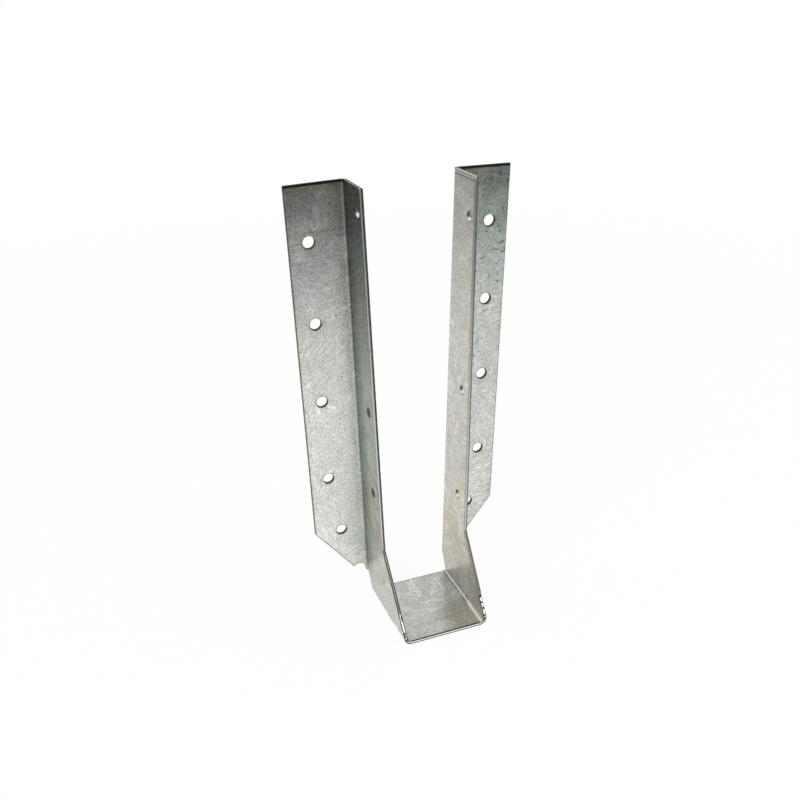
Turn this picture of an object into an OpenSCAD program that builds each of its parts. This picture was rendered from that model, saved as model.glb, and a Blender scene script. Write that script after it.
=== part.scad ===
// Face-mount joist hanger: one piece of galvanised sheet, cut, punched and folded.
// A seat, two legs that lean slightly outward, and a nailing flange on each leg.
// X runs along the header, -Y is the joist's side, +Y the header's, and Z is up.
// The origin is on the underside of the seat, at the centre of the outline seen from above.
// Sizes of a leg and its flange are those of the leg before it leans.

/* [Sheet] */
// Thickness of the sheet
sheet_t = 1.5; // [1:0.1:2]
// Inside radius of the folds
fold_r = 1.2; // [0.8:0.1:1.6]
// Inside radius of the seat folds near the front edge of the seat
front_fold_r = 2.2; // [1.8:0.1:3]
// How much the bending has thinned each face of the sheet in a fold
fold_thinning = 0.02; // [0.01:0.01:0.05]

/* [Joist pocket] */
// Width between the legs at the seat
pocket_w = 39.7; // [38:0.1:60]
// Height from the underside of the seat to the top edges
hanger_h = 206.4; // [200:0.2:260]
// Depth from the header face to the front edge of the seat
seat_depth = 52.4; // [48:0.2:70]
// Gap between the header face and the back edge of the seat
seat_gap = 7; // [5:0.5:12]
// Outward lean of each leg, in degrees
leg_lean = 1.2; // [0:0.1:3]

/* [Legs] */
// Depth of a leg at its top edge, from the header face
leg_top_depth = 22; // [20:0.5:26]
// Depth of a leg at the knee, below which its front edge runs out to the seat
knee_depth = 27; // [26:0.5:32]
// Height of the knee
knee_z = 38; // [32:0.5:48]
// Height at which the back edge of a leg leaves the fold and slants to the seat
leg_heel_z = 10; // [8:0.5:11]
// Length of the level end of that slant, forward of the fold
heel_level = 0.5; // [0.3:0.1:1.5]
// Height of the small step in the front edge of a leg
step_z = 14; // [10:0.5:18]
// Depth of that step
step_depth = 0.6; // [0.3:0.1:1]
// Height at which the slanted front edge ends in a short upright one
front_corner_z = 4.4; // [4.2:0.1:6]
// Length along the seat over which the seat folds have their larger radius
front_fold_l = 16.5; // [12:0.5:20]

/* [Flanges] */
// Width of a flange, from the inside face of its leg
flange_w = 26.9; // [25:0.1:40]
// Height at which the outer edge of a flange gives way to the slanted cut
flange_cut_z = 38.5; // [34:0.5:50]
// Distance of the lower tip from the inside face of the leg
tip_x = 8.3; // [7.5:0.1:9]
// Height of the lower tip
tip_z = 13.6; // [13:0.1:15]
// Radius of the relief notch beside the fold
relief_r = 3.4; // [3.2:0.1:4]
// Slope of the line from the centre of the notch up to the tip, in degrees
relief_slope = 40; // [35:1:45]
// Slope of the cut that leads across the fold from the leg's back edge to the notch
heel_slope = 60; // [50:1:70]

/* [Nail holes] */
// Diameter of the holes for nails into the header
header_hole_d = 5.2; // [4:0.1:6]
// Distance of the straight column of header holes from the inside face of the leg
header_hole_x = 18; // [15:0.1:20]
// Distance of the topmost hole of that column from the top edge
header_top_drop = 23.9; // [10:0.1:30]
// Heights of the other holes in that column
header_hole_zs = [146.5, 109, 68.5];
// Distance of the lowest header hole from the inside face of the leg
low_hole_x = 13.5; // [12:0.1:16]
// Height of the lowest header hole
low_hole_z = 38; // [34:0.5:42]
// Diameter of the holes for nails into the joist
joist_hole_d = 4; // [3.5:0.1:5]
// Distance of the joist holes from the header face
joist_hole_y = 18; // [14:0.5:19]
// Distances of the topmost joist holes, left and right, from the top edge
joist_top_drops = [9.9, 16.9];
// Heights of the other joist holes in the left leg
left_joist_zs = [107.5, 65.5];
// Heights of the other joist holes in the right leg, staggered so that opposite nails miss
right_joist_zs = [110, 54.5];

/* [Hidden] */
$fn = 64;
half_w = pocket_w / 2;
outer_r = fold_r + sheet_t;
header_y = seat_depth / 2;
front_y = -header_y;
seat_back_y = header_y - seat_gap;
front_fold_y = front_y + front_fold_l;
leg_top_y = header_y - leg_top_depth;
knee_y = header_y - knee_depth;
// where the flat of a leg or flange ends and a fold begins
leg_back_y = header_y - outer_r;
flange_x = half_w + outer_r;
seat_x = half_w - fold_r;
// the larger fold meets the same two flats, each one this much further from the corner
front_fold_in = (front_fold_r - fold_r) * (1 - sin(leg_lean)) / cos(leg_lean);
// where the front edge below the knee reaches the height of its step
step_y = knee_y + (front_y - knee_y) * (knee_z - step_z) / (knee_z - front_corner_z);
// the relief notch, and where the flange's slanted cut would pass below its centre
relief_x = half_w + tip_x - relief_r * cos(relief_slope);
relief_z = tip_z - relief_r * sin(relief_slope);
cut_slope = (flange_cut_z - tip_z) / (flange_w - tip_x);
cut_end_z = tip_z - cut_slope * (half_w + tip_x - relief_x);
// the cut across the fold ends inside the notch
heel_end_z = relief_z + relief_r / 2;
heel_end_x = half_w + sheet_t + (heel_end_z - leg_heel_z) / tan(heel_slope);
// how far a fold runs on inside the flats that it joins, in degrees
fold_lap = 4;
// how far the flat of a leg runs on over the larger seat fold
flat_lap = 0.1;
// how far a cutter, or what it trims, runs past the face that is cut
past = 1;

function mirrored(points) = [for (p = points) [-p[0], p[1]]];

// a slab in the Y-Z plane, drawn as (y, z), from x up to x + thickness
module side_slab(x, thickness, outline) {
    translate([x + thickness, 0, 0]) rotate([90, 0, -90]) linear_extrude(thickness)
        polygon(mirrored(outline));
}

// a slab in the X-Z plane, drawn as (x, z), reaching depth forward of the header face,
// and further by the given margin at both faces
module header_slab(depth, margin) {
    translate([0, header_y + margin, 0]) rotate([90, 0, 0]) linear_extrude(depth + 2 * margin)
        children();
}

// a fold of the given inside radius about Z, length up, from angle a0 to a1
module fold(inside_r, length, a0, a1) {
    rotate([0, 0, a0 - fold_lap]) rotate_extrude(angle = a1 - a0 + 2 * fold_lap)
        translate([inside_r + fold_thinning, 0]) square([sheet_t - 2 * fold_thinning, length]);
}

// the fold between seat and leg, from back_y forward for the given length
module seat_fold(inside_r, centre_x, back_y, length) {
    translate([centre_x, back_y, sheet_t + inside_r]) rotate([90, 0, 0])
        fold(inside_r, length, -90, -leg_lean);
}

// leans what belongs to the right leg about the centre of its seat fold
module lean() {
    pivot = [seat_x, 0, outer_r];
    translate(pivot) rotate([0, leg_lean, 0]) translate(-pivot) children();
}

// a strip of the seat from y0 back to y1, reaching x either side of the middle
module seat_strip(x, y0, y1) {
    translate([-x, y0, 0]) cube([2 * x, y1 - y0, sheet_t]);
}

// the seat, running past its front and back edges
module seat() {
    seat_strip(seat_x, front_fold_y, seat_back_y + past);
    seat_strip(seat_x - front_fold_in, front_y - past, front_fold_y);
}

// the flat of a leg, running past its front and heel edges
module leg_flat() {
    front_bottom_z = outer_r + front_fold_in;
    side_slab(half_w, sheet_t, [
        [leg_back_y, hanger_h],
        [front_y - past, hanger_h],
        [front_y - past, front_bottom_z],
        [front_fold_y - flat_lap, front_bottom_z],
        [front_fold_y - flat_lap, outer_r],
        [leg_back_y, outer_r]
    ]);
}

// a flange and its upright fold, with the relief notch and the cut across the fold
module flange() {
    difference() {
        union() {
            translate([flange_x, leg_back_y, 0]) fold(fold_r, hanger_h, 90, 180);
            header_slab(sheet_t, 0) polygon([
                [flange_x, hanger_h],
                [half_w + flange_w, hanger_h],
                [half_w + flange_w, flange_cut_z],
                [relief_x, cut_end_z],
                [flange_x, relief_z]
            ]);
        }
        header_slab(outer_r, past) translate([relief_x, relief_z]) circle(r = relief_r);
        header_slab(outer_r, past) polygon([
            [half_w - past, -past],
            [half_w - past, leg_heel_z],
            [half_w + sheet_t, leg_heel_z],
            [heel_end_x, heel_end_z],
            [heel_end_x, -past]
        ]);
    }
}

module round_hole_through_flange(x, z) {
    translate([x, header_y + past, z]) rotate([90, 0, 0])
        cylinder(h = sheet_t + 2 * past, d = header_hole_d);
}

module round_hole_through_leg(z) {
    translate([half_w - past, header_y - joist_hole_y, z]) rotate([0, 90, 0])
        cylinder(h = sheet_t + 2 * past, d = joist_hole_d);
}

// one leg with its flange and folds, drawn on the right
module side(joist_top_drop, joist_zs) {
    seat_fold(fold_r, seat_x, seat_back_y + past, seat_back_y + past - front_fold_y);
    seat_fold(front_fold_r, seat_x - front_fold_in, front_fold_y, front_fold_l + past);
    lean() difference() {
        union() {
            leg_flat();
            flange();
        }
        for (z = [hanger_h - header_top_drop, each header_hole_zs])
            round_hole_through_flange(half_w + header_hole_x, z);
        round_hole_through_flange(half_w + low_hole_x, low_hole_z);
        for (z = [hanger_h - joist_top_drop, each joist_zs])
            round_hole_through_leg(z);
    }
}

// what the sheet is trimmed of, seen from the side: all that lies forward of the legs' front
// edges and of the seat, and all that lies behind the seat and below the legs' heels
module trimmings() {
    width = 2 * (half_w + flange_w);
    top_z = hanger_h + past;
    side_slab(-width / 2, width, [
        [leg_top_y, top_z],
        [leg_top_y, hanger_h],
        [knee_y, knee_z],
        [step_y, step_z],
        [step_y + step_depth, step_z],
        [front_y, front_corner_z],
        [front_y, -past],
        [front_y - 2 * past, -past],
        [front_y - 2 * past, top_z]
    ]);
    side_slab(-width / 2, width, [
        [seat_back_y, -past],
        [seat_back_y, outer_r],
        [leg_back_y - heel_level, leg_heel_z],
        [header_y, leg_heel_z],
        [header_y, -past]
    ]);
}

module hanger() {
    color([0.62, 0.63, 0.61]) difference() {
        union() {
            seat();
            mirror([1, 0, 0]) side(joist_top_drops[0], left_joist_zs);
            side(joist_top_drops[1], right_joist_zs);
        }
        trimmings();
    }
}

hanger();
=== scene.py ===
"""A face-mount joist hanger of galvanised sheet: one blank, punched, sheared and folded."""

import math

import bpy
import numpy as np
from mathutils import Matrix, Vector, geometry


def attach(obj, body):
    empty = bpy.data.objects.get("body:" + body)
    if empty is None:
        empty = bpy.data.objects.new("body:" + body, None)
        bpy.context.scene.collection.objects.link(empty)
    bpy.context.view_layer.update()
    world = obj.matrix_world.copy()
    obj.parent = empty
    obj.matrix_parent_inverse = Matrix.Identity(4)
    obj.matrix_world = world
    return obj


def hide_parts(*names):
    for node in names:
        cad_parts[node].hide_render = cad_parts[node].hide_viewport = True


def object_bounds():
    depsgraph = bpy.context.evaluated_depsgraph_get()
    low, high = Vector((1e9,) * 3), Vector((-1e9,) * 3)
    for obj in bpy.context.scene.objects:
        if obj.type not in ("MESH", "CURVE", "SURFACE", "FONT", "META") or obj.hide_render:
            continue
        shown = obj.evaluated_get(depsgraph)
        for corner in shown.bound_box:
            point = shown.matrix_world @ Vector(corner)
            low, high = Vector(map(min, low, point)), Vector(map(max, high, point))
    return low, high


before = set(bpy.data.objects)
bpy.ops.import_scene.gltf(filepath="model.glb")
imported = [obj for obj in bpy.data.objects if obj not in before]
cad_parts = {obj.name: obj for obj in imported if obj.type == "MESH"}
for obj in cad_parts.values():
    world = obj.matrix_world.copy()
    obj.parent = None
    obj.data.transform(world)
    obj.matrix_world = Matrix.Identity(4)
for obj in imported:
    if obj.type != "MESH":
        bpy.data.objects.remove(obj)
cad_low, cad_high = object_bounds()

MM = 0.001

# the sheet and its folds
SHEET = 1.5 * MM
HALF_SHEET = SHEET / 2
FOLD_INSIDE = 1.2 * MM
FOLD_MID = FOLD_INSIDE + HALF_SHEET
FRONT_FOLD_MID = 2.2 * MM + HALF_SHEET
LEAN = math.radians(1.2)

# the hanger's outline, depth along Y and height along Z
HEADER_Y = cad_high.y
FRONT_Y = cad_low.y
POCKET_HALF = 19.85 * MM
HEIGHT = 206.4 * MM
SEAT_BACK_Y = HEADER_Y - 7 * MM
LEG_TOP_Y = HEADER_Y - 22 * MM
KNEE_Y = HEADER_Y - 27 * MM
KNEE_Z = 38 * MM
STEP_Z = 14 * MM
STEP_DEPTH = 0.6 * MM
FRONT_CORNER_Z = 4.4 * MM
HEEL_Z = 10 * MM
HEEL_LEVEL = 0.5 * MM
FRONT_FOLD_END = FRONT_Y + 16.5 * MM

# a flange, measured outward from the inside face of its leg
FLANGE_WIDTH = 26.9 * MM
FLANGE_CUT_Z = 38.5 * MM
TIP_OUT = 8.3 * MM
TIP_Z = 13.6 * MM
RELIEF_RADIUS = 3.4 * MM
RELIEF_SLOPE = 40
HEEL_SLOPE = math.radians(60)

# nail holes
HEADER_HOLE_RADIUS = 2.6 * MM
HEADER_HOLE_OUT = 18 * MM
HEADER_HOLE_HEIGHTS = [182.5 * MM, 146.5 * MM, 109 * MM, 68.5 * MM]
LOW_HOLE_OUT = 13.5 * MM
LOW_HOLE_Z = 38 * MM
JOIST_HOLE_RADIUS = 2 * MM
JOIST_HOLE_Y = HEADER_Y - 18 * MM
LEFT_JOIST_HEIGHTS = [196.5 * MM, 107.5 * MM, 65.5 * MM]
RIGHT_JOIST_HEIGHTS = [189.5 * MM, 110 * MM, 54.5 * MM]

# where the fold between leg and flange lies on the flat blank
LEG_BACK_Y = HEADER_Y - FOLD_MID - HALF_SHEET
FLANGE_FOLD_RUN = FOLD_MID * math.pi / 2
FLANGE_FOLD_END = LEG_BACK_Y + FLANGE_FOLD_RUN

# the strip of the blank that holds a seat fold, with a little of the flats on either side
SEAT_X = POCKET_HALF - FOLD_INSIDE
FOLD_ZONE_START = 17.3 * MM
FOLD_ZONE_LENGTH = 5.6 * MM
FOLD_ZONE_END = FOLD_ZONE_START + FOLD_ZONE_LENGTH
ZONE_LEG_RISE = 1.3 * MM
# how far each flat draws back for every metre by which the seat fold's radius grows
FOLD_SHIFT = (1 - math.sin(LEAN)) / math.cos(LEAN)

# the section of the sheared edge: how deep the roll-over and the burr are, and between them
# how far in the cut lies and how high through the sheet
ROLL_IN = 0.22 * MM
BURR_IN = 0.08 * MM
CUT_SECTION = [
    (0.10 * MM, 0.715 * MM),
    (0.03 * MM, 0.64 * MM),
    (0.00 * MM, 0.52 * MM),
    (0.00 * MM, 0.05 * MM),
    (0.05 * MM, -0.05 * MM),
    (0.07 * MM, -0.55 * MM),
    (0.03 * MM, -0.72 * MM),
]

# the mesh: how far apart the points of a cut edge are, on the flats and across a fold
FLAT_STEP = 1.5 * MM
FOLD_STEP = 0.3 * MM
# the row of points that follows each cut edge inside the sheet
INNER_ROW = 0.6 * MM
# how near to a cut edge the points of that row, and those of the ruled rows, may come
INNER_ROW_GAP = 0.45 * MM
RULED_GAP = 0.95 * MM
HOLE_SIDES = 40
# edges that turn by more than this look sharp
SHARP_TURN = math.radians(38)


# ---------------------------------------------------------------- the flat blank


def along_leg(height):
    """Place on the blank, from the seat's middle line, of a height on the leg."""
    return FOLD_ZONE_END + height - (SHEET + FOLD_INSIDE + ZONE_LEG_RISE)


def across_fold(x):
    """Place on the blank of a point of the upright fold, from its distance from the middle."""
    centre = POCKET_HALF + HALF_SHEET + FOLD_MID
    if x <= centre - FOLD_MID:
        return LEG_BACK_Y
    if x >= centre:
        return FLANGE_FOLD_END + x - centre
    return LEG_BACK_Y + FOLD_MID * math.acos((centre - x) / FOLD_MID)


FLANGE_EDGE = across_fold(POCKET_HALF + FLANGE_WIDTH)


def relief_and_heel():
    """The blank's edge from the flange's lower tip, round the relief notch, to the leg's heel."""
    slope = math.radians(RELIEF_SLOPE)
    relief_x = POCKET_HALF + TIP_OUT - RELIEF_RADIUS * math.cos(slope)
    relief_z = TIP_Z - RELIEF_RADIUS * math.sin(slope)
    points = []
    for degrees in range(RELIEF_SLOPE, 181, 7):
        angle = math.radians(degrees)
        x = relief_x + RELIEF_RADIUS * math.cos(angle)
        z = relief_z + RELIEF_RADIUS * math.sin(angle)
        points.append((across_fold(x), along_leg(z)))
    heel_x = POCKET_HALF + SHEET
    meeting_x = relief_x - RELIEF_RADIUS
    steps = 4
    for k in range(1, steps + 1):
        x = meeting_x + (heel_x - meeting_x) * k / steps
        z = HEEL_Z + (x - heel_x) * math.tan(HEEL_SLOPE)
        points.append((across_fold(x), along_leg(z)))
    return points


def side_outline():
    """The right half of the blank's outline, from the seat's front edge round to its back edge."""
    step_y = KNEE_Y + (FRONT_Y - KNEE_Y) * (KNEE_Z - STEP_Z) / (KNEE_Z - FRONT_CORNER_Z)
    return [
        (FRONT_Y, 0.0),
        (FRONT_Y, along_leg(FRONT_CORNER_Z)),
        (step_y + STEP_DEPTH, along_leg(STEP_Z)),
        (step_y, along_leg(STEP_Z)),
        (KNEE_Y, along_leg(KNEE_Z)),
        (LEG_TOP_Y, along_leg(HEIGHT)),
        (FLANGE_EDGE, along_leg(HEIGHT)),
        (FLANGE_EDGE, along_leg(FLANGE_CUT_Z)),
        *relief_and_heel(),
        (LEG_BACK_Y, along_leg(HEEL_Z)),
        (LEG_BACK_Y - HEEL_LEVEL, along_leg(HEEL_Z)),
        (SEAT_BACK_Y, along_leg(SHEET + FOLD_INSIDE)),
        (SEAT_BACK_Y, 0.0),
    ]


def signed_area(loop):
    """The loop's area, negative where it runs clockwise."""
    total = 0.0
    for (x0, y0), (x1, y1) in zip(loop, loop[1:] + loop[:1]):
        total += (x0 * y1 - x1 * y0) / 2
    return total


def blank_outline():
    """The whole outline, anticlockwise: the right half, then the left half going back."""
    right = side_outline()
    left = [(p, -q) for p, q in reversed(right[1:-1])]
    loop = right + left
    return loop if signed_area(loop) > 0 else loop[::-1]


def outline_with_fold_points(loop):
    """The outline with points added along it, closer together where it crosses a fold."""
    reached = 1e-7
    result = []
    for (x0, y0), (x1, y1) in zip(loop, loop[1:] + loop[:1]):
        length = math.hypot(x1 - x0, y1 - y0)
        distance = 0.0
        while distance < length - reached:
            x = x0 + (x1 - x0) * distance / length
            y = y0 + (y1 - y0) * distance / length
            result.append((x, y))
            in_seat_fold = FOLD_ZONE_START - FOLD_STEP < abs(y) < FOLD_ZONE_END
            in_flange_fold = LEG_BACK_Y - FOLD_STEP < x < FLANGE_FOLD_END
            step = FOLD_STEP if in_seat_fold or in_flange_fold else FLAT_STEP
            left = length - distance
            distance += left / max(1, round(left / step))
    return result


def hole_loop(p, q, radius):
    """A hole's edge, clockwise, so that the sheet lies on its left as on the outline's."""
    turns = [-2 * math.pi * k / HOLE_SIDES for k in range(HOLE_SIDES)]
    return [(p + radius * math.cos(a), q + radius * math.sin(a)) for a in turns]


def hole_loops():
    """The edges of all the nail holes, side by side from the left."""
    loops = []
    column_p = across_fold(POCKET_HALF + HEADER_HOLE_OUT)
    low_p = across_fold(POCKET_HALF + LOW_HOLE_OUT)
    for side, joist_heights in ((-1, LEFT_JOIST_HEIGHTS), (1, RIGHT_JOIST_HEIGHTS)):
        for z in HEADER_HOLE_HEIGHTS:
            loops.append(hole_loop(column_p, side * along_leg(z), HEADER_HOLE_RADIUS))
        loops.append(hole_loop(low_p, side * along_leg(LOW_HOLE_Z), HEADER_HOLE_RADIUS))
        for z in joist_heights:
            loops.append(hole_loop(JOIST_HOLE_Y, side * along_leg(z), JOIST_HOLE_RADIUS))
    return loops


def inward_normals(loop):
    """For each point, how far and which way it moves when the edge draws back by one unit."""
    # at a sharp corner the point moves no further than this allows
    least_width = 0.35
    points = np.array(loop)
    ahead = np.roll(points, -1, axis=0) - points
    ahead = ahead / np.linalg.norm(ahead, axis=1)[:, None]
    behind = np.roll(ahead, 1, axis=0)
    n_ahead = np.stack([-ahead[:, 1], ahead[:, 0]], axis=1)
    n_behind = np.stack([-behind[:, 1], behind[:, 0]], axis=1)
    total = n_ahead + n_behind
    return total / np.maximum(least_width, (total * n_ahead).sum(axis=1))[:, None]


def inside_and_distance(points, loops):
    """Whether each point lies on the sheet, and its distance from the nearest cut edge."""
    further_than_any = 1.0
    inside = np.zeros(len(points), bool)
    distance = np.full(len(points), further_than_any)
    for loop in loops:
        starts = np.array(loop)
        ends = np.roll(starts, -1, axis=0)
        for a, b in zip(starts, ends):
            crosses = (a[1] > points[:, 1]) != (b[1] > points[:, 1])
            if a[1] != b[1]:
                where = a[0] + (points[:, 1] - a[1]) * (b[0] - a[0]) / (b[1] - a[1])
                inside ^= crosses & (points[:, 0] < where)
            run = b - a
            t = np.clip(((points - a) @ run) / (run @ run), 0, 1)
            gap = np.linalg.norm(points - (a + t[:, None] * run), axis=1)
            distance = np.minimum(distance, gap)
    return inside, distance


def ruled_points():
    """Rows and columns of points over the blank, close together across each fold."""
    seat_step = 1.7 * MM
    leg_step = 1.9 * MM
    flange_step = 1.8 * MM
    across_flange_fold = 13
    across_seat_fold = 25
    ps = list(np.arange(FRONT_Y, LEG_BACK_Y - 1 * MM, seat_step))
    ps += list(np.linspace(LEG_BACK_Y, FLANGE_FOLD_END, across_flange_fold))
    ps += list(np.arange(FLANGE_FOLD_END + 1.2 * MM, FLANGE_EDGE, flange_step))
    qs = list(np.arange(0, FOLD_ZONE_START - 0.5 * MM, seat_step))
    qs += list(np.linspace(FOLD_ZONE_START, FOLD_ZONE_END, across_seat_fold))
    qs += list(np.arange(FOLD_ZONE_END + 1 * MM, along_leg(HEIGHT), leg_step))
    qs = sorted(set(qs) | set(-q for q in qs))
    return np.array([(p, q) for q in qs for p in ps])


def loop_edges(loops):
    """The edges of all the loops, as pairs of points counted from the first loop's first."""
    edges = []
    start = 0
    for loop in loops:
        edges.extend((start + k, start + (k + 1) % len(loop)) for k in range(len(loop)))
        start += len(loop)
    return edges


def flat_blank(name):
    """The blank as a closed plate, its place in metres on the flat sheet and through it."""
    loops = [outline_with_fold_points(blank_outline())] + hole_loops()
    normals = [inward_normals(loop) for loop in loops]
    # the flat faces end where the roll-over of the cut begins
    rim_loops = [np.array(loop) + normal * ROLL_IN for loop, normal in zip(loops, normals)]
    rims = np.concatenate(rim_loops)
    ruled = ruled_points()
    inner_rows = [np.array(loop) + normal * INNER_ROW for loop, normal in zip(loops, normals)]
    grid = np.concatenate([ruled] + inner_rows)
    inside, gap = inside_and_distance(grid, loops)
    crowded = np.full(len(grid), INNER_ROW_GAP)
    crowded[:len(ruled)] = RULED_GAP
    flat = np.concatenate([rims, grid[inside & (gap > crowded)]])
    # the triangles are found in millimetres, in which the finest tolerance is small enough
    scale = 1000
    points = [Vector(v) * scale for v in flat]
    made = geometry.delaunay_2d_cdt(points, loop_edges(loops), [], 0, 1e-6)
    flat = np.array([tuple(v) for v in made[0]]) / scale
    faces = np.array([f for f in made[2] if len(f) == 3])
    on_sheet, _ = inside_and_distance(flat[faces].mean(axis=1), rim_loops)
    faces = faces[on_sheet]
    a, b, c = flat[faces[:, 0]], flat[faces[:, 1]], flat[faces[:, 2]]
    turn = (b[:, 0] - a[:, 0]) * (c[:, 1] - a[:, 1]) - (b[:, 1] - a[:, 1]) * (c[:, 0] - a[:, 0])
    faces[turn < 0] = faces[turn < 0][:, ::-1]
    return plate_from(name, flat, faces, loops, normals)


def placed(name, data):
    """A new object in the scene, which holds the data."""
    made = bpy.data.objects.new(name, data)
    bpy.context.scene.collection.objects.link(made)
    return made


def plate_from(name, flat, faces, loops, normals):
    """Gives the flat triangles their thickness, with a sheared edge round each loop."""
    count = len(flat)
    front = np.column_stack([flat, np.full(count, HALF_SHEET)])
    back = np.column_stack([flat, np.full(count, -HALF_SHEET)])
    all_loops = np.concatenate([np.array(loop) for loop in loops])
    all_normals = np.concatenate(normals)
    rim_count = len(all_loops)
    back[:rim_count, :2] = all_loops + all_normals * BURR_IN
    rings = [front, back]
    for inset, height in CUT_SECTION:
        ring = all_loops + all_normals * inset
        rings.append(np.column_stack([ring, np.full(rim_count, height)]))
    place = np.concatenate(rings)
    starts = [0] + [2 * count + k * rim_count for k in range(len(CUT_SECTION))] + [count]
    quads = []
    for here, beyond in loop_edges(loops):
        for upper, lower in zip(starts, starts[1:]):
            quads.append((upper + here, lower + here, lower + beyond, upper + beyond))
    triangles = [tuple(f) for f in faces] + [tuple(f[::-1] + count) for f in faces]
    mesh = bpy.data.meshes.new(name)
    mesh.from_pydata([tuple(v) for v in place], [], triangles + quads)
    _, gap = inside_and_distance(place[:, :2], loops)
    cut = np.zeros(len(triangles) + len(quads), bool)
    cut[len(triangles):] = True
    attributes = (
        ("blank", "FLOAT_VECTOR", "POINT", "vector", place.astype(np.float32).ravel()),
        ("edge_gap", "FLOAT", "POINT", "value", gap.astype(np.float32)),
        ("cut", "BOOLEAN", "FACE", "value", cut),
    )
    for title, kind, domain, field, values in attributes:
        mesh.attributes.new(title, kind, domain).data.foreach_set(field, values)
    mesh.update()
    return placed(name, mesh)


# ---------------------------------------------------------------- writing node trees


class Sock:
    """A node's output, on which sums can be written."""

    def __init__(self, net, socket):
        self.net = net
        self.socket = socket

    def of(self, name):
        """Another output of the same node."""
        return Sock(self.net, self.socket.node.outputs[name])

    def maths(self, operation, other=None):
        values = {0: self} if other is None else {0: self, 1: other}
        return self.net.node("ShaderNodeMath", {"operation": operation}, values)

    def flipped(self, operation, other):
        return self.net.node("ShaderNodeMath", {"operation": operation}, {0: other, 1: self})

    def __add__(self, other):
        return self.maths("ADD", other)

    def __radd__(self, other):
        return self.flipped("ADD", other)

    def __sub__(self, other):
        return self.maths("SUBTRACT", other)

    def __rsub__(self, other):
        return self.flipped("SUBTRACT", other)

    def __mul__(self, other):
        return self.maths("MULTIPLY", other)

    def __rmul__(self, other):
        return self.flipped("MULTIPLY", other)

    def __truediv__(self, other):
        return self.maths("DIVIDE", other)

    def __neg__(self):
        return self.maths("MULTIPLY", -1.0)

    def least(self, other):
        return self.maths("MINIMUM", other)

    def most(self, other):
        return self.maths("MAXIMUM", other)

    def sine(self):
        return self.maths("SINE")

    def cosine(self):
        return self.maths("COSINE")

    def root(self):
        return self.maths("SQRT")

    def size(self):
        return self.maths("ABSOLUTE")

    def between(self, low, high):
        return self.most(low).least(high)

    def ramp(self, low, high):
        """0 below low, 1 above high, smooth between; low may be the higher of the two."""
        return self.net.node("ShaderNodeMapRange",
                             {"interpolation_type": "SMOOTHSTEP", "clamp": True},
                             {"Value": self, "From Min": low, "From Max": high})


class Net:
    """A node tree while it is being written."""

    def __init__(self, tree):
        self.tree = tree

    def node(self, kind, settings=None, values=None, output=None):
        """Any node, with its settings, what its sockets hold, and the output to go on from."""
        made = self.tree.nodes.new(kind)
        for name, setting in (settings or {}).items():
            setattr(made, name, setting)
        for name, value in (values or {}).items():
            socket = made.inputs[name]
            if isinstance(value, Sock):
                self.tree.links.new(value.socket, socket)
            else:
                socket.default_value = value
        if not made.outputs:
            return made
        shown = [o for o in made.outputs if o.enabled]
        return Sock(self, made.outputs[output] if output else shown[0])

    def mix_colour(self, factor, a, b, blend="MIX"):
        """Two colours mixed; either may be three plain numbers."""
        a, b = (v if isinstance(v, Sock) else (*v, 1) for v in (a, b))
        return self.node("ShaderNodeMix", {"data_type": "RGBA", "blend_type": blend},
                         {0: factor, 6: a, 7: b}, 2)

    def tint(self, colour, amount, shade):
        """The colour multiplied by a shade, as far as the amount says."""
        return self.mix_colour(amount, colour, self.mix_colour(1.0, colour, shade, "MULTIPLY"))

    def vector(self, operation, a, b):
        return self.node("ShaderNodeVectorMath", {"operation": operation}, {0: a, 1: b})

    def noise(self, place, size, detail=2.0, roughness=0.5, distortion=0.0):
        """Noise whose waves are about as long as the size."""
        return self.node("ShaderNodeTexNoise", {"noise_dimensions": "3D"},
                         {"Vector": place, "Scale": 1 / size, "Detail": detail,
                          "Roughness": roughness, "Distortion": distortion})

    def attribute(self, name, output):
        return self.node("ShaderNodeAttribute", {"attribute_name": name}, {}, output)

    def parts(self, place):
        """The three parts of a place."""
        split = self.node("ShaderNodeSeparateXYZ", {}, {0: place})
        return split.of("X"), split.of("Y"), split.of("Z")

    def relief(self, height):
        """The normal of a surface that rises by the height, in metres."""
        return self.node("ShaderNodeBump", {},
                         {"Height": height, "Distance": 1.0, "Strength": 1.0})


# ---------------------------------------------------------------- folding the blank


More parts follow.
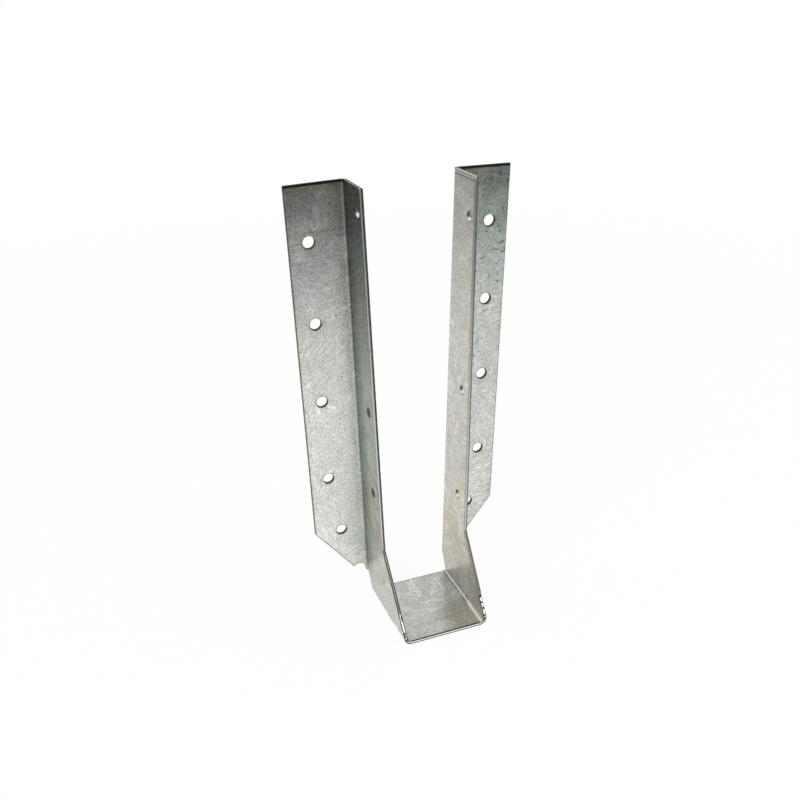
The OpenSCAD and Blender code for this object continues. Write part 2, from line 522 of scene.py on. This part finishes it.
def folding_tree(sheet_metal, cut_metal):
    """The rule of the folds: each point of the flat plate goes where the press brake puts it."""
    tree = bpy.data.node_groups.new("fold_the_blank", "GeometryNodeTree")
    face = tree.interface
    face.new_socket("Blank", in_out="INPUT", socket_type="NodeSocketGeometry")
    sizes = {
        "Fold radius": FOLD_MID,
        "Front fold radius": FRONT_FOLD_MID,
        "Seat flat": SEAT_X,
        "Leg back": LEG_BACK_Y,
        "Leg lean": LEAN,
    }
    for name, size in sizes.items():
        socket = face.new_socket(name, in_out="INPUT", socket_type="NodeSocketFloat")
        socket.default_value = size
    face.new_socket("Hanger", in_out="OUTPUT", socket_type="NodeSocketGeometry")
    net = Net(tree)
    given = net.node("NodeGroupInput")
    fold_radius = given.of("Fold radius")
    front_radius = given.of("Front fold radius")
    seat_flat = given.of("Seat flat")
    leg_back = given.of("Leg back")
    quarter = math.pi / 2
    fold_angle = quarter - given.of("Leg lean")
    depth, run, through = net.parts(net.node("GeometryNodeInputPosition"))

    # the upright fold between leg and flange
    turn = ((depth - leg_back) / fold_radius).between(0.0, quarter)
    beyond = (depth - leg_back - fold_radius * quarter).most(0.0)
    swing = fold_radius - through
    outward = fold_radius - swing * turn.cosine() + beyond
    y = depth.least(leg_back) + swing * turn.sine()

    # the fold between seat and leg, a little wider near the front edge
    wider = depth.ramp(FRONT_FOLD_END + 0.5 * MM, FRONT_FOLD_END - 2.5 * MM)
    extra = (front_radius - fold_radius) * wider
    radius = fold_radius + extra
    flat_end = seat_flat - extra * FOLD_SHIFT
    distance = run.size()
    in_zone = ((distance - FOLD_ZONE_START) / FOLD_ZONE_LENGTH).between(0.0, 1.0)
    leg_rise = ZONE_LEG_RISE - extra * FOLD_SHIFT
    arc = radius * fold_angle
    zone_run = in_zone * (flat_end - FOLD_ZONE_START + arc + leg_rise)
    seat_part = zone_run.least(flat_end - FOLD_ZONE_START)
    bend = ((zone_run - seat_part) / radius).between(0.0, fold_angle)
    leg_part = (zone_run - seat_part - arc).most(0.0) + (distance - FOLD_ZONE_END).most(0.0)
    reach = radius + outward
    x = distance.least(FOLD_ZONE_START) + seat_part + reach * bend.sine()
    x = x + leg_part * bend.cosine()
    z = radius + HALF_SHEET - reach * bend.cosine() + leg_part * bend.sine()
    sided = x * run.maths("SIGN")

    folded_place = net.node("ShaderNodeCombineXYZ", {}, {0: sided, 1: y, 2: z})
    folded = net.node("GeometryNodeSetPosition", {},
                      {"Geometry": given.of("Blank"), "Position": folded_place})
    realized = net.node("GeometryNodeRealizeInstances", {}, {0: folded})
    cut = net.node("GeometryNodeInputNamedAttribute", {"data_type": "BOOLEAN"}, {"Name": "cut"})
    dressed = net.node("GeometryNodeSetMaterial", {},
                       {"Geometry": realized, "Material": sheet_metal})
    dressed = net.node("GeometryNodeSetMaterial", {},
                       {"Geometry": dressed, "Selection": cut, "Material": cut_metal})
    net.node("NodeGroupOutput", {}, {0: dressed})
    return tree, sizes


def hanger_sheet(sheet_metal, cut_metal):
    """The folded hanger as one plain mesh."""
    blank = flat_blank("blank")
    tree, sizes = folding_tree(sheet_metal, cut_metal)
    modifier = blank.modifiers.new("fold", "NODES")
    modifier.node_group = tree
    for item in tree.interface.items_tree:
        if item.in_out == "INPUT" and item.name in sizes:
            modifier[item.identifier] = sizes[item.name]
    graph = bpy.context.evaluated_depsgraph_get()
    mesh = bpy.data.meshes.new_from_object(blank.evaluated_get(graph), depsgraph=graph)
    flat_mesh = blank.data
    bpy.data.objects.remove(blank)
    bpy.data.meshes.remove(flat_mesh)
    mesh.name = "hanger_sheet"
    mesh.shade_smooth()
    mesh.set_sharp_from_angle(angle=SHARP_TURN)
    return placed("hanger_sheet", mesh)


# ---------------------------------------------------------------- what both finishes share


def new_material(name):
    material = bpy.data.materials.new(name)
    material.use_nodes = True
    material.node_tree.nodes.clear()
    return material, Net(material.node_tree)


def finish_metal(net, colour, metallic, rough, height):
    """Lays the metal's finish on the surface."""
    shader = net.node("ShaderNodeBsdfPrincipled", {},
                      {"Base Color": colour, "Metallic": metallic, "Roughness": rough,
                       "Normal": net.relief(height)})
    net.node("ShaderNodeOutputMaterial", {}, {"Surface": shader})


def patch(value, low, high, soft):
    """1 where the value lies between low and high, falling to 0 over the soft margin."""
    return value.ramp(low - soft, low + soft) * value.ramp(high + soft, high - soft)


class Places:
    """Where a point lies on the blank: p back from the front, q out to the right, h through."""

    def __init__(self, net):
        self.blank = net.attribute("blank", "Vector")
        self.p, self.q, self.h = net.parts(self.blank)
        self.distance = self.q.size()

    def rising(self, low, high):
        """0 at the one height up a leg or flange, 1 at the other, both in millimetres."""
        return self.distance.ramp(along_leg(low * MM), along_leg(high * MM))

    def spot(self, at_p, at_q, radius):
        """1 at one point of the blank, 0 beyond the radius."""
        dp = self.p - at_p
        dq = self.q - at_q
        return (dp * dp + dq * dq).root().ramp(radius, radius * 0.35)


# ---------------------------------------------------------------- the galvanised faces

CLEAN_ZINC = (0.605, 0.62, 0.595)
WARM_ZINC = (0.623, 0.62, 0.583)

# what each mark does to the zinc's colour, in the order in which they are laid on: how strongly
# it is laid on, and the shade by which it multiplies the colour
ZINC_MARKS = {
    "plumes": (0.35, (1.0, 1.01, 1.05)),
    "beige": (1.0, (1.0, 0.955, 0.86)),
    "tarnish": (0.7, (0.9, 0.87, 0.82)),
    "rosy": (1.0, (1.0, 0.94, 0.86)),
    "rust": (0.7, (0.86, 0.66, 0.52)),
    "damp": (0.75, (0.89, 0.86, 0.75)),
    "stain": (1.0, (0.86, 0.83, 0.68)),
    "teal": (0.5, (0.9, 1.0, 0.97)),
    "pink": (0.6, (1.0, 0.95, 0.93)),
    "dragged": (0.85, (0.62, 0.52, 0.36)),
    "drawn": (0.8, (0.6, 0.58, 0.55)),
    "nicks": (0.6, (0.7, 0.7, 0.67)),
    "rolled": (0.7, (0.72, 0.73, 0.7)),
    "dross": (0.85, (0.3, 0.33, 0.31)),
    "green": (1.0, (0.95, 1.02, 0.98)),
    "ash": (0.9, (0.16, 0.15, 0.14)),
    "border": (0.8, (0.5, 0.48, 0.43)),
    "halo": (0.5, (0.88, 0.83, 0.72)),
    "painted_crease_shade": (1.0, (0.5, 0.56, 0.51)),
    "painted_upper_leg_shade": (1.0, (0.17, 0.18, 0.165)),
    "painted_leg_shade": (1.0, (0.92, 0.93, 0.92)),
    "painted_flange_top_shade": (1.0, (0.76, 0.78, 0.77)),
    "pitted": (0.6, (0.6, 0.62, 0.58)),
    "crazing": (0.5, (1.12, 1.12, 1.12)),
    "foot": (1.0, (0.5, 0.48, 0.44)),
    "painted_fold_highlight": (1.0, (1.3, 1.3, 1.3)),
    "brown": (1.0, (0.86, 0.78, 0.6)),
    "black": (1.0, (0.12, 0.12, 0.11)),
    "painted_edge_highlight": (1.0, (1.25, 1.18, 1.05)),
    "line": (1.0, (0.35, 0.32, 0.27)),
    "lip": (1.0, (0.16, 0.15, 0.14)),
}

# the plainest spots of ash on the left flange and of dross on the right one, in millimetres:
# depth on the blank, height on the flange and radius
ASH_SPOTS = [
    (31.9, 197.5, 0.5),
    (31.6, 119.4, 0.55),
    (26.8, 79.9, 0.5),
    (26.4, 58, 0.5),
    (40.2, 195.3, 0.6),
]
DROSS_SPOTS = [
    (45.8, 202.5, 1.6),
    (49.9, 199.2, 1.5),
    (48.2, 187.3, 0.9),
    (38.7, 200.1, 0.9),
    (38.1, 193.8, 0.8),
    (47.4, 177.2, 0.9),
]


class Regions(Places):
    """The parts of the hanger and the sheet's two faces, each 1 on it and 0 elsewhere."""

    def __init__(self, net):
        super().__init__(net)
        self.gap = net.attribute("edge_gap", "Fac")
        # the two faces of the sheet lie far apart in the patterns
        self.place = net.vector("MULTIPLY", self.blank, (1, 1, 12))
        self.outside = self.h.ramp(-0.2 * MM, 0.2 * MM)
        self.inside = 1.0 - self.outside
        self.left = self.q.ramp(1 * MM, -1 * MM)
        self.right = 1.0 - self.left
        self.past_seat_fold = self.distance.ramp(FOLD_ZONE_START, FOLD_ZONE_END)
        self.before_flange = self.p.ramp(LEG_BACK_Y + 1 * MM, LEG_BACK_Y)
        self.leg = self.past_seat_fold * self.before_flange
        self.flange = self.p.ramp(FLANGE_FOLD_END - 1 * MM, FLANGE_FOLD_END)
        self.seat = self.distance.ramp(FOLD_ZONE_START + 1 * MM, FOLD_ZONE_START)
        self.left_leg_outside = self.left * self.leg * self.outside


def turned(net, place, angle, stretch):
    """The place turned about the sheet's normal, then scaled along each of its own axes."""
    spun = net.node("ShaderNodeVectorRotate", {"rotation_type": "AXIS_ANGLE"},
                    {"Vector": place, "Center": (0, 0, 0), "Axis": (0, 0, 1), "Angle": angle})
    return net.vector("MULTIPLY", spun, stretch)


def crystals(net, place, size, stretch):
    """Zinc crystals: each has its own chance value and feathers that run its own way."""
    wander = net.node("ShaderNodeTexNoise", {"noise_dimensions": "3D"},
                      {"Vector": place, "Scale": 0.6 / size, "Detail": 2.0}, "Color")
    wander = net.vector("SUBTRACT", wander, (0.5, 0.5, 0.5))
    wander = net.node("ShaderNodeVectorMath", {"operation": "SCALE"},
                      {0: wander, "Scale": size * 1.3})
    cell = net.node("ShaderNodeTexVoronoi", {"voronoi_dimensions": "3D"},
                    {"Vector": net.vector("ADD", place, wander), "Scale": 1 / size}, "Color")
    chance = net.node("ShaderNodeSeparateColor", {}, {0: cell})
    way = chance.of("Red") * (2 * math.pi)
    feather = net.noise(turned(net, place, way, stretch), 1.0, 2.0, 0.55, 0.3)
    return chance.of("Green"), feather


class Zinc:
    """The coat's own patterns, from its finest grain to its clouds."""

    def __init__(self, net, place):
        self.grain = net.noise(place, 0.55 * MM, 1.0, 0.6)
        self.speckle = net.noise(place, 1.5 * MM, 2.0, 0.6)
        self.mottle = net.noise(place, 6 * MM, 4.0, 0.6)
        self.cloud = net.noise(place, 24 * MM, 3.0, 0.55)
        self.swell = net.noise(place, 34 * MM, 1.0, 0.4)
        self.chance, feather = crystals(net, place, 9 * MM, (100, 850, 300))
        self.small_chance, small_feather = crystals(net, place, 8 * MM, (60, 430, 160))
        self.plumes = feather.ramp(0.51, 0.57) * self.chance.ramp(0.35, 0.6)
        feathered = self.small_chance.ramp(0.25, 0.5)
        self.barbs = patch(small_feather, 0.60, 0.645, 0.018) * feathered
        self.furrows = patch(small_feather, 0.53, 0.565, 0.015) * feathered


def scratches(net, place, degrees, spacing, length, sparse):
    """Fine lines that run at one angle across the blank, as drawn by a sliding corner."""
    stretch = (1 / length, 1 / spacing, 0.2 / spacing)
    line = net.noise(turned(net, place, -math.radians(degrees), stretch), 1.0, 2.0, 0.55)
    return line.ramp(sparse, sparse + 0.09)


def handling_marks(net, on, zinc):
    """Scratches left by handling, each kind where it lies on the blank."""
    nicks = scratches(net, on.place, 40, 0.5 * MM, 9 * MM, 0.66)
    drawn = scratches(net, on.place, 8, 0.9 * MM, 26 * MM, 0.55)
    dragged = scratches(net, on.place, -42, 1.3 * MM, 26 * MM, 0.52)
    rolled = scratches(net, on.place, 1, 0.75 * MM, 34 * MM, 0.56)
    right_rows = patch(on.q, 38 * MM, 86 * MM, 6 * MM) * on.flange * on.outside
    left_rows = patch(-on.q, 56 * MM, 100 * MM, 5 * MM) * on.leg * on.outside
    top_rows = patch(on.distance, along_leg(172 * MM), along_leg(201 * MM), 5 * MM)
    return {
        "nicks": nicks * zinc.cloud.ramp(0.4, 0.65),
        "drawn": drawn * right_rows,
        "dragged": dragged * left_rows,
        "rolled": rolled * top_rows * on.left * on.flange,
    }


def spots(net, on, zinc):
    """Pinpoints of ash, and dross that thickens towards the top of the right flange."""
    cells = net.node("ShaderNodeTexVoronoi", {"voronoi_dimensions": "3D"},
                     {"Vector": on.place, "Scale": 1 / (7 * MM)}, "Distance")
    ash = cells.ramp(0.075, 0.035) * zinc.mottle.ramp(0.42, 0.55)
    for depth, height, radius in ASH_SPOTS:
        ash = ash.most(on.spot(depth * MM, -along_leg(height * MM), radius * MM))
    smeared = net.vector("MULTIPLY", on.place, (1, 1.9, 1))
    dross = net.noise(smeared, 3.4 * MM, 3.0, 0.62).ramp(0.58, 0.68)
    dross = dross * on.q.ramp(110 * MM, 200 * MM) * on.flange
    for depth, height, radius in DROSS_SPOTS:
        dross = dross.most(on.spot(depth * MM, along_leg(height * MM), radius * MM) * 0.9)
    return {"ash": ash, "dross": dross}


def stains(net, on, zinc):
    """Where damp, rust and hands have warmed or greened the zinc, with painted shade on the left
    leg's outer face and towards the flanges' tops.
    """
    warm = on.leg * on.right * on.inside
    beige = warm * zinc.mottle.ramp(0.3, 0.62)
    tarnish = warm * patch(on.q, 21 * MM, 62 * MM, 8 * MM)
    rosy = warm * patch(on.q, 48 * MM, 112 * MM, 10 * MM)
    damp = on.leg * patch(on.distance, 26 * MM, 60 * MM, 9 * MM)
    stain = on.left * on.outside * on.spot(4.9 * MM, -along_leg(20.6 * MM), 9 * MM)
    pink = on.seat * on.left * zinc.speckle.ramp(0.3, 0.6)
    # painted shade: the left leg's outer face darker towards its top
    painted_upper_leg_shade = on.left_leg_outside * on.rising(95, 190)
    return {
        "beige": beige * (0.25 + on.p.ramp(16 * MM, 2 * MM) * 0.55),
        "tarnish": tarnish * zinc.mottle.ramp(0.3, 0.6),
        "rosy": rosy * zinc.speckle.ramp(0.42, 0.62),
        "rust": rosy * net.noise(on.place, 1.6 * MM, 2.0, 0.6).ramp(0.62, 0.7),
        "damp": damp * zinc.mottle.ramp(0.25, 0.6),
        "stain": stain * zinc.mottle.ramp(0.3, 0.6),
        "teal": on.left_leg_outside * zinc.cloud.ramp(0.35, 0.6),
        "pink": pink * on.p.ramp(5 * MM, -20 * MM),
        "green": on.right * on.flange * on.outside * on.rising(100, 190),
        "painted_upper_leg_shade": painted_upper_leg_shade * (0.45 + zinc.speckle.ramp(0.35, 0.62) * 0.55),
        # painted shade over the whole outer face of the left leg
        "painted_leg_shade": on.left_leg_outside,
        # painted shade: the flanges darker towards their tops
        "painted_flange_top_shade": on.flange * on.rising(176, 206),
    }


def shear_marks(on, zinc):
    """Along the shear the zinc is thin and stained, and the seat's front has a dark line."""
    border = on.gap.ramp(0.75 * MM, 0.12 * MM)
    clean_front = on.left_leg_outside * on.p.ramp(8 * MM, 6 * MM)
    halo = on.gap.ramp(3.2 * MM, 0.5 * MM)
    lip = on.seat * on.inside
    return {
        "border": border * (1.0 - clean_front * 0.8),
        "halo": halo * zinc.mottle.ramp(0.4, 0.6),
        "lip": lip * on.p.ramp(FRONT_Y + 0.95 * MM, FRONT_Y + 0.6 * MM),
    }


def fold_marks(on, zinc):
    """Painted shade in the creases beside the upright folds, a painted highlight along the front
    of the seat fold's inside, a darker line at the seat fold's inner foot, and zinc that is crazed
    or pitted over the folds.
    """
    # painted shade in the corner where each flange meets the outer face of its leg
    painted_crease_shade = on.p.ramp(LEG_BACK_Y - 13 * MM, LEG_BACK_Y - 3 * MM)
    painted_crease_shade = painted_crease_shade * on.p.ramp(FLANGE_FOLD_END, FLANGE_FOLD_END - 1.5 * MM)
    painted_crease_shade = painted_crease_shade * on.distance.ramp(FOLD_ZONE_END, along_leg(20 * MM)) * on.outside
    soft = 0.9 * MM
    upright = patch(on.p, LEG_BACK_Y - 0.2 * MM, FLANGE_FOLD_END - 0.9 * MM, soft)
    upright = upright * on.past_seat_fold
    pitted = patch(on.p, FLANGE_FOLD_END - 0.5 * MM, FLANGE_FOLD_END + 1.2 * MM, soft)
    pitted = pitted * on.outside * zinc.speckle.ramp(0.5, 0.4)
    under = patch(on.distance, 18.6 * MM, 21.8 * MM, 0.8 * MM)
    crown = (upright * on.inside).most(under * on.outside)
    # painted highlight inside the seat fold, towards its front
    painted_fold_highlight = under * on.inside * on.p.ramp(-6 * MM, -12 * MM)
    foot = patch(on.distance, 18.2 * MM, 19.2 * MM, 0.4 * MM) * on.inside
    return {
        "painted_crease_shade": painted_crease_shade * (0.7 + zinc.mottle * 0.5),
        "pitted": pitted * patch(on.distance, 90 * MM, 190 * MM, 15 * MM),
        "crown": crown,
        "crazing": crown * zinc.grain.ramp(0.4, 0.6),
        "painted_fold_highlight": painted_fold_highlight,
        "foot": foot * (1.0 - painted_fold_highlight) * zinc.speckle.ramp(0.3, 0.5),
    }


def top_edge_marks(on, zinc):
    """The flanges' top edges are darker, browner on the left, and a painted highlight runs along
    the top of the right leg's inside.
    """
    brown = on.left * on.flange * on.outside * on.rising(202, 204.5)
    black = on.outside * on.rising(205, 205.7)
    leg_inside = on.right * on.inside * on.before_flange
    line = leg_inside * patch(on.distance, along_leg(204.3 * MM), along_leg(204.8 * MM), 0.2 * MM)
    return {
        "brown": brown * (0.4 + zinc.mottle),
        "black": black * on.p.ramp(LEG_BACK_Y - 4 * MM, LEG_BACK_Y),
        # painted highlight along the top of the right leg's inside face
        "painted_edge_highlight": leg_inside * on.rising(204.9, 205.2),
        "line": line * zinc.speckle.ramp(0.35, 0.5),
    }


def zinc_grain_and_painted_light(on, zinc):
    """How light the clean zinc is: its grain and crystals, then painted light that makes parts of
    the flanges paler.
    """
    light = 1.0 + (zinc.grain - 0.5) * 1.4 + (zinc.speckle - 0.5) * 0.15
    light = light + (zinc.mottle - 0.5) * 0.06
    light = light + (zinc.chance - 0.5) * 0.06 + (zinc.small_chance - 0.5) * 0.12
    light = light + zinc.plumes * 0.14 + zinc.barbs * 0.26 - zinc.furrows * 0.16 - 0.07
    # painted light: the lower part of the left flange paler
    light = light + on.left * on.flange * on.rising(70, 30) * 0.14
    # painted light on a band high on the right flange
    upper = patch(on.distance, 158 * MM, 196 * MM, 10 * MM)
    light = light + on.right * on.flange * upper * 0.1
    # painted light: the flanges paler below about 140 mm
    return light + on.flange * on.rising(178, 140) * 0.08


def galvanised_sheet():
    """Hot-dip zinc: fine grain, feathered crystals, stains, scratches and a little wear, with
    painted shade and painted light laid on its colour.
    """
    material, net = new_material("galvanised_sheet")
    on = Regions(net)
    zinc = Zinc(net, on.place)
    marks = {
        "plumes": zinc.plumes,
        **handling_marks(net, on, zinc),
        **spots(net, on, zinc),
        **stains(net, on, zinc),
        **shear_marks(on, zinc),
        **fold_marks(on, zinc),
        **top_edge_marks(on, zinc),
    }
    light = zinc_grain_and_painted_light(on, zinc)
    shade = net.node("ShaderNodeCombineColor", {}, {0: light, 1: light, 2: light})
    colour = net.mix_colour(zinc.cloud.ramp(0.35, 0.65), CLEAN_ZINC, WARM_ZINC)
    colour = net.mix_colour(1.0, colour, shade, "MULTIPLY")
    for name, (strength, tone) in ZINC_MARKS.items():
        colour = net.tint(colour, marks[name] * strength, tone)

    ash, border, crown = marks["ash"], marks["border"], marks["crown"]
    rough = 0.33 + (zinc.mottle - 0.5) * 0.08
    rough = rough + (zinc.chance - 0.5) * 0.1 + (zinc.small_chance - 0.5) * 0.06
    rough = rough + border * 0.12 + crown * 0.08 + marks["dross"] * 0.1 + ash * 0.2
    rough = rough - zinc.plumes * 0.05
    scored = (marks["drawn"] * 0.8).most(marks["dragged"] * 0.9).most(marks["nicks"] * 0.6)
    height = zinc.grain * 5e-6 + zinc.speckle * 7e-6 + zinc.mottle * 1.2e-5
    height = height + zinc.plumes * 3e-6 + zinc.swell * 5e-5
    height = height + marks["crazing"] * 3e-6 - scored * 5e-6 - ash * 4e-5 - border * 1e-5
    # the flanges catch the light as ones that have sprung back a little from square
    sprung = (on.p - FLANGE_FOLD_END).most(0.0) * 0.075
    height = height + sprung * (1.0 - on.outside * 2.0)
    finish_metal(net, colour, 1.0, rough.between(0.16, 0.7), height)
    return material


# ---------------------------------------------------------------- the sheared edge

TORN_DARK = (0.075, 0.072, 0.066)
TORN_PALE = (0.13, 0.127, 0.118)
SHEAR_BAND_AND_HIGHLIGHT = (0.6, 0.6, 0.575)
DARK_TOP_CUT = (0.05, 0.05, 0.046)
EDGE_HIGHLIGHT = (0.92, 0.89, 0.87)
GLEAM = (1, 1, 1)
HOLE_GLEAM = (1, 1, 0.98)


def slid_band_and_painted_highlight(at, tearing):
    """The bright band of the shear, and painted highlights along the legs' front edges."""
    front = at.p.ramp(6 * MM, 5 * MM) * at.rising(8, 14)
    above_knee = at.distance.ramp(along_leg(KNEE_Z - 4 * MM), along_leg(KNEE_Z + 4 * MM))
    left_front = front * at.q.ramp(0.0, -1 * MM)
    right_front = front * at.q.ramp(0.0, 1 * MM)
    # painted highlights on the legs' front edges
    upper = left_front * above_knee * at.h.ramp(0.15 * MM, 0.3 * MM)
    lower = left_front * (1.0 - above_knee) * patch(at.h, -0.2 * MM, 0.3 * MM, 0.1 * MM)
    right_front_highlight = right_front * at.h.ramp(0.2 * MM, -0.05 * MM) * (0.6 + tearing * 0.5)
    bright_band = patch(at.h, 0.12 * MM, 0.5 * MM, 0.1 * MM) * (0.15 + tearing * 0.3)
    return bright_band.most(upper.most(lower) * (0.75 + tearing * 0.5)).most(right_front_highlight)


def sheared_edge():
    """The cut through the sheet: bright along the shear's band, dull where the metal tore, with
    painted highlights and painted shade on it.
    """
    material, net = new_material("sheared_edge")
    at = Places(net)
    tearing = net.noise(net.vector("MULTIPLY", at.blank, (1, 1, 0.25)), 0.28 * MM, 2.0, 0.6)
    blotch = net.noise(at.blank, 2.6 * MM, 2.0, 0.6)
    bright_band = slid_band_and_painted_highlight(at, tearing)
    colour = net.mix_colour(blotch.ramp(0.35, 0.65), TORN_DARK, TORN_PALE)
    colour = net.mix_colour(bright_band, colour, SHEAR_BAND_AND_HIGHLIGHT)
    # the flanges' top cut darker
    flange_top = at.p.ramp(LEG_BACK_Y, LEG_BACK_Y + 1 * MM) * at.rising(204, 205)
    colour = net.mix_colour(flange_top, colour, DARK_TOP_CUT)
    # painted shade on the cut faces within the flanges, the nail holes' walls among them
    flange_holes = patch(at.p, LEG_BACK_Y + 7 * MM, FLANGE_EDGE - 1 * MM, 0.5 * MM)
    colour = net.tint(colour, flange_holes, (0.45, 0.45, 0.43))

    # a painted highlight on the cut at the seat's front and at the top of the right leg
    seat_front = at.distance.ramp(FOLD_ZONE_END, FOLD_ZONE_START) * at.p.ramp(0.0, -10 * MM)
    leg_top = at.q.ramp(along_leg(204 * MM), along_leg(205.5 * MM))
    leg_top = leg_top * at.p.ramp(LEG_BACK_Y + 1 * MM, LEG_BACK_Y)
    painted_edge_highlight = seat_front.most(leg_top * 0.85) * patch(at.h, -0.5 * MM, 0.08 * MM, 0.08 * MM)
    colour = net.mix_colour(painted_edge_highlight * (0.75 + tearing * 0.4), colour, EDGE_HIGHLIGHT)
    # painted shade on the underside of the seat's front edge
    underside = seat_front * at.h.ramp(0.08 * MM, 0.2 * MM)
    colour = net.tint(colour, underside, (0.08, 0.08, 0.08))

    # painted glints on the cut of each front corner below the step, with painted shade between
    # them
    glinting_corner = patch(at.distance, 22.4 * MM, 32 * MM, 0.8 * MM) * at.p.ramp(-15 * MM, -18 * MM)
    glint = net.noise(at.blank, 2.1 * MM, 1.0, 0.5).ramp(0.43, 0.48)
    glint = glint * patch(at.h, -0.4 * MM, 0.4 * MM, 0.1 * MM)
    colour = net.tint(colour, glinting_corner, (0.4, 0.38, 0.36))
    colour = net.mix_colour(glinting_corner * glint, colour, GLEAM)

    lips = at.h.size().ramp(0.5 * MM, 0.68 * MM)
    colour = net.tint(colour, lips * (1.0 - bright_band) * 0.5, (0.6, 0.59, 0.56))
    rust = blotch.ramp(0.55, 0.68) * (1.0 - painted_edge_highlight) * (1.0 - bright_band)
    colour = net.tint(colour, rust * 0.35, (1.05, 0.85, 0.68))
    # light from above catches the lower wall of these joist holes
    lit_holes = [-along_leg(LEFT_JOIST_HEIGHTS[0])] + [along_leg(z) for z in RIGHT_JOIST_HEIGHTS]
    for at_q in lit_holes:
        foot_q = at_q - math.copysign(JOIST_HOLE_RADIUS, at_q)
        caught = at.spot(JOIST_HOLE_Y + 1 * MM, foot_q, 2.6 * MM)
        colour = net.mix_colour(caught, colour, HOLE_GLEAM)

    rough = 0.46 - bright_band * 0.1 + (tearing - 0.5) * 0.2 + glinting_corner * glint * 0.1
    height = tearing * 1.4e-5 + blotch * 1e-5
    # less metallic where the glints and the edge highlight are painted, so that they render white
    matte_white = (glinting_corner * glint * 0.85).most(painted_edge_highlight * seat_front * 0.5)
    finish_metal(net, colour, 1.0 - matte_white, rough.between(0.15, 0.8), height)
    return material


# ---------------------------------------------------------------- the studio

# the strongest light that the floor gives back to the hanger
FLOOR_GLOW = 1.25
FLOOR_HALF = 4.0
FLOOR_GAP = 0.2 * MM
# what the lamps point at
LAMP_AIM = (0, 0, 0.1)


def faded(distance, reach):
    """1 at no distance, falling away exponentially over the reach."""
    return (distance * (-1 / reach)).maths("EXPONENT")


def ray_kinds(net):
    """1 for rays straight from the camera, and 1 for rays that come by way of a reflection."""
    rays = net.node("ShaderNodeLightPath")
    mirrored = rays.of("Is Glossy Ray").most(rays.of("Is Transmission Ray"))
    return rays.of("Is Camera Ray"), mirrored


def white_light(net, kind, strength, share):
    """White light, as large a share of its strength as is given."""
    unlit = net.node(kind, {}, {"Color": (0, 0, 0, 1), "Strength": 0.0})
    lit = net.node(kind, {}, {"Color": (1, 1, 1, 1), "Strength": strength})
    return net.node("ShaderNodeMixShader", {}, {0: share, 1: unlit, 2: lit})


def studio_floor():
    """A pale floor, bright round the hanger and dimmer far in front of it and behind it."""
    material, net = new_material("studio_floor")
    x, y, _ = net.parts(net.node("ShaderNodeTexCoord", {}, {}, "Object"))
    seen, mirrored = ray_kinds(net)
    ahead = y.least(0.0)
    aside = x.least(0.0)
    in_front = faded(((aside * aside + ahead * ahead).root() - 0.31).most(0.0), 0.24)
    behind = faded((y - 0.30).most(0.0), 0.35)
    near_left = y.ramp(0.0, -0.15) * x.ramp(0.12, -0.02)
    dimmed = (0.08 + in_front * 0.92) * (0.75 + behind * 0.25) * (1.0 + near_left * 0.22)
    level = seen + (1.0 - seen) * dimmed
    glow = white_light(net, "ShaderNodeEmission", FLOOR_GLOW, level * (1 / FLOOR_GLOW))
    paint = net.node("ShaderNodeBsdfDiffuse", {}, {"Color": (0.8, 0.8, 0.8, 1)})
    away = (x * x + y * y).root().ramp(0.35, 1.1)
    shown = seen.most(mirrored) * (0.94 + away * 0.06)
    mixed = net.node("ShaderNodeMixShader", {}, {0: shown, 1: paint, 2: glow})
    net.node("ShaderNodeOutputMaterial", {}, {"Surface": mixed})
    mesh = bpy.data.meshes.new("floor")
    low = cad_low.z - FLOOR_GAP
    half = FLOOR_HALF
    corners = [(-half, -half, low), (half, -half, low), (half, half, low), (-half, half, low)]
    mesh.from_pydata(corners, [], [(0, 1, 2, 3)])
    mesh.materials.append(material)
    placed("floor", mesh)


def studio_world():
    """White behind the hanger, a dimmer room in front of it, plain light for the rest."""
    world = bpy.data.worlds.new("studio")
    bpy.context.scene.world = world
    world.use_nodes = True
    world.node_tree.nodes.clear()
    net = Net(world.node_tree)
    seen, mirrored = ray_kinds(net)
    _, y, _ = net.parts(net.node("ShaderNodeTexCoord", {}, {}, "Generated"))
    room = 0.2 + y.ramp(-0.4, 0.3) * 0.68
    level = seen + (1.0 - seen) * (mirrored * room + (1.0 - mirrored) * 0.75)
    around = white_light(net, "ShaderNodeBackground", 1.0, level)
    net.node("ShaderNodeOutputWorld", {}, {"Surface": around})


def soft_lamp(name, place, size, power):
    lamp = bpy.data.lights.new(name, "AREA")
    lamp.shape = "SQUARE"
    lamp.size = size
    lamp.energy = power
    holder = placed(name, lamp)
    holder.location = place
    towards = Vector(LAMP_AIM) - Vector(place)
    holder.rotation_euler = towards.to_track_quat("-Z", "Y").to_euler()


def studio_camera():
    lens = bpy.data.cameras.new("camera")
    lens.sensor_width = 36
    lens.lens = 40.07
    lens.shift_x = 0.022
    lens.shift_y = 0.0595
    place = (-0.13913, -0.3279, 0.28336)
    azimuth = math.radians(-19.892)
    tilt = math.radians(61.395)
    roll = math.radians(-1.533)
    aimed = Matrix.Rotation(azimuth, 4, "Z") @ Matrix.Rotation(tilt, 4, "X")
    aimed = aimed @ Matrix.Rotation(roll, 4, "Z")
    camera = placed("camera", lens)
    camera.matrix_world = Matrix.Translation(place) @ aimed
    bpy.context.scene.camera = camera


studio_camera()
studio_floor()
studio_world()
soft_lamp("key", place=(-0.7, -0.6, 1.1), size=0.9, power=9)
soft_lamp("fill", place=(0.9, -0.3, 0.8), size=0.9, power=4)
bpy.context.scene.view_settings.view_transform = "Standard"

hanger = hanger_sheet(galvanised_sheet(), sheared_edge())
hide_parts("hanger")
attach(hanger, "root")
